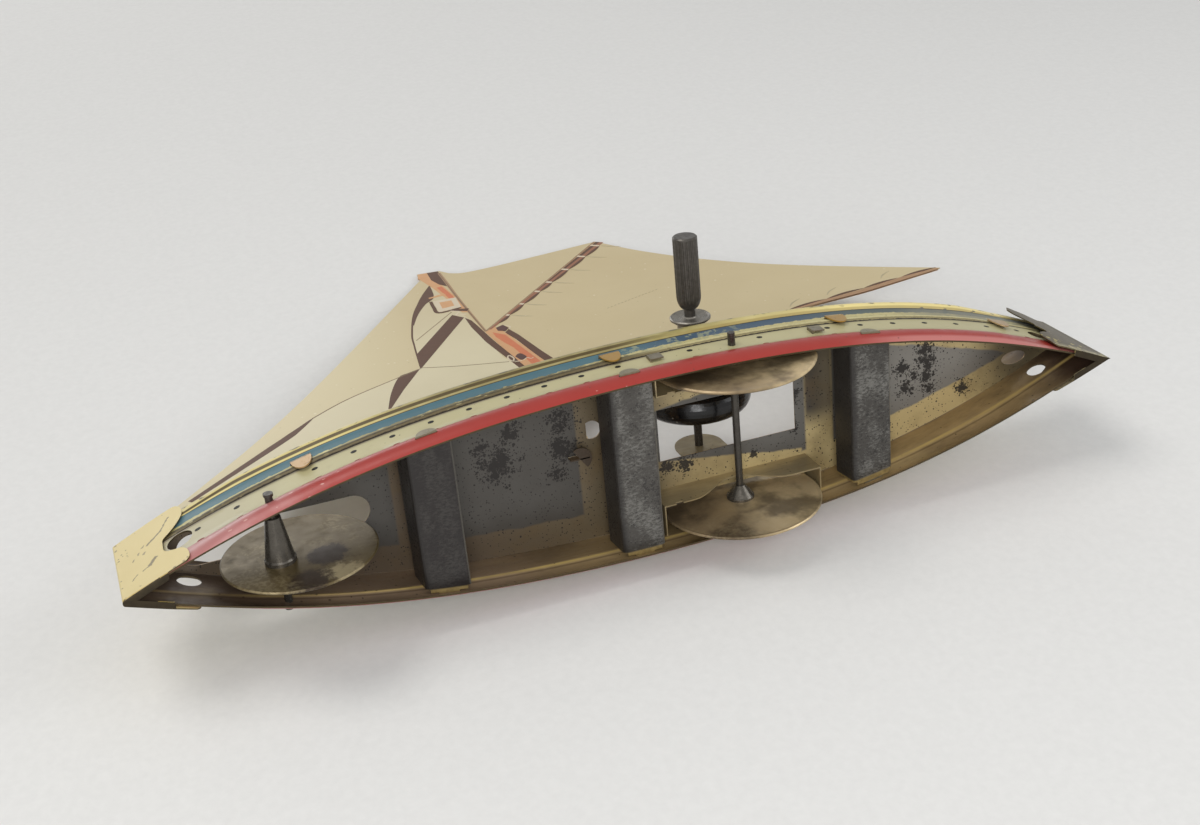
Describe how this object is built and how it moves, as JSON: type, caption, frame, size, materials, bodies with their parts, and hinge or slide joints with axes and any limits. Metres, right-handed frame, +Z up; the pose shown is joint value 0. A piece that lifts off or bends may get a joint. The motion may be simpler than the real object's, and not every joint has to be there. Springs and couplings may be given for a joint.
{
  "type": "tin toy sailboat with flywheel drive",
  "caption": "Tinplate floor-toy sailboat: pressed hull sides, deck, flat sail, three wheels, the front one off-centre, and a hand-spun flywheel driving the main wheels.",
  "frame": {"origin": "on the floor plane under the wheels, in the hull's middle plane, below the middle of the hull's length", "axes": "+X towards the bow along the hull's length, +Y towards port, the side with the finger grip, +Z up along the mast"},
  "size_m": [0.3027, 0.0856, 0.2173],
  "materials": {
    "litho_side": "printed and lacquered tinplate",
    "bow_yellow": "worn yellow lacquer",
    "stern_grey": "bare tin with flecks of yellow paint",
    "deck_tin": "bare tinplate with rust specks below, ochre lacquer above",
    "brace_tin": "dull tinplate with rust specks",
    "gold_lacquer": "tarnished gold lacquer",
    "sail_cream": "printed cream tinplate",
    "wheel_tin": "tarnished tin with brown staining",
    "hub_metal": "turned bright metal",
    "axle_steel": "dark steel wire",
    "flywheel_black": "black enamel on cast metal",
    "grip_steel": "dark reeded steel"
  },
  "bodies": {
    "hull": {"hull_side_port": "litho_side", "hull_side_starboard": "litho_side", "deck": "deck_tin", "bow_cap": "bow_yellow", "stern_cap": "stern_grey", "brace_fore": "brace_tin", "brace_mid": "brace_tin", "brace_aft": "brace_tin", "wheel_bracket_port": "gold_lacquer", "wheel_bracket_starboard": "gold_lacquer", "upright_port": "gold_lacquer", "upright_starboard": "gold_lacquer", "sail": "sail_cream"},
    "drive_wheels": {"main_axle": "axle_steel", "main_wheel_port": "wheel_tin", "main_wheel_starboard": "wheel_tin", "main_hub_port": "hub_metal", "main_hub_starboard": "hub_metal"},
    "front_wheel": {"front_axle": "axle_steel", "front_wheel": "wheel_tin", "front_hub_port": "hub_metal", "front_hub_starboard": "hub_metal"},
    "flywheel": {"flywheel": "flywheel_black", "flywheel_spindle": "axle_steel", "grip_dish": "grip_steel", "spin_grip": "grip_steel"}
  },
  "joints": [
    {"name": "flywheel_spin", "type": "hinge", "parent": "hull", "child": "flywheel", "pos_m": [-0.028, 0, 0.05047], "axis": [0, 1, 0], "continuous": true},
    {"name": "drive_roll", "type": "hinge", "parent": "hull", "child": "drive_wheels", "pos_m": [-0.03, 0, 0.0246], "axis": [0, 1, 0], "continuous": true},
    {"name": "front_roll", "type": "hinge", "parent": "hull", "child": "front_wheel", "pos_m": [0.1083, 0, 0.0192], "axis": [0, 1, 0], "continuous": true}
  ],
  "couplings": [
    {"joint": "drive_roll", "follows": "flywheel_spin", "ratio": -0.052846}
  ]
}
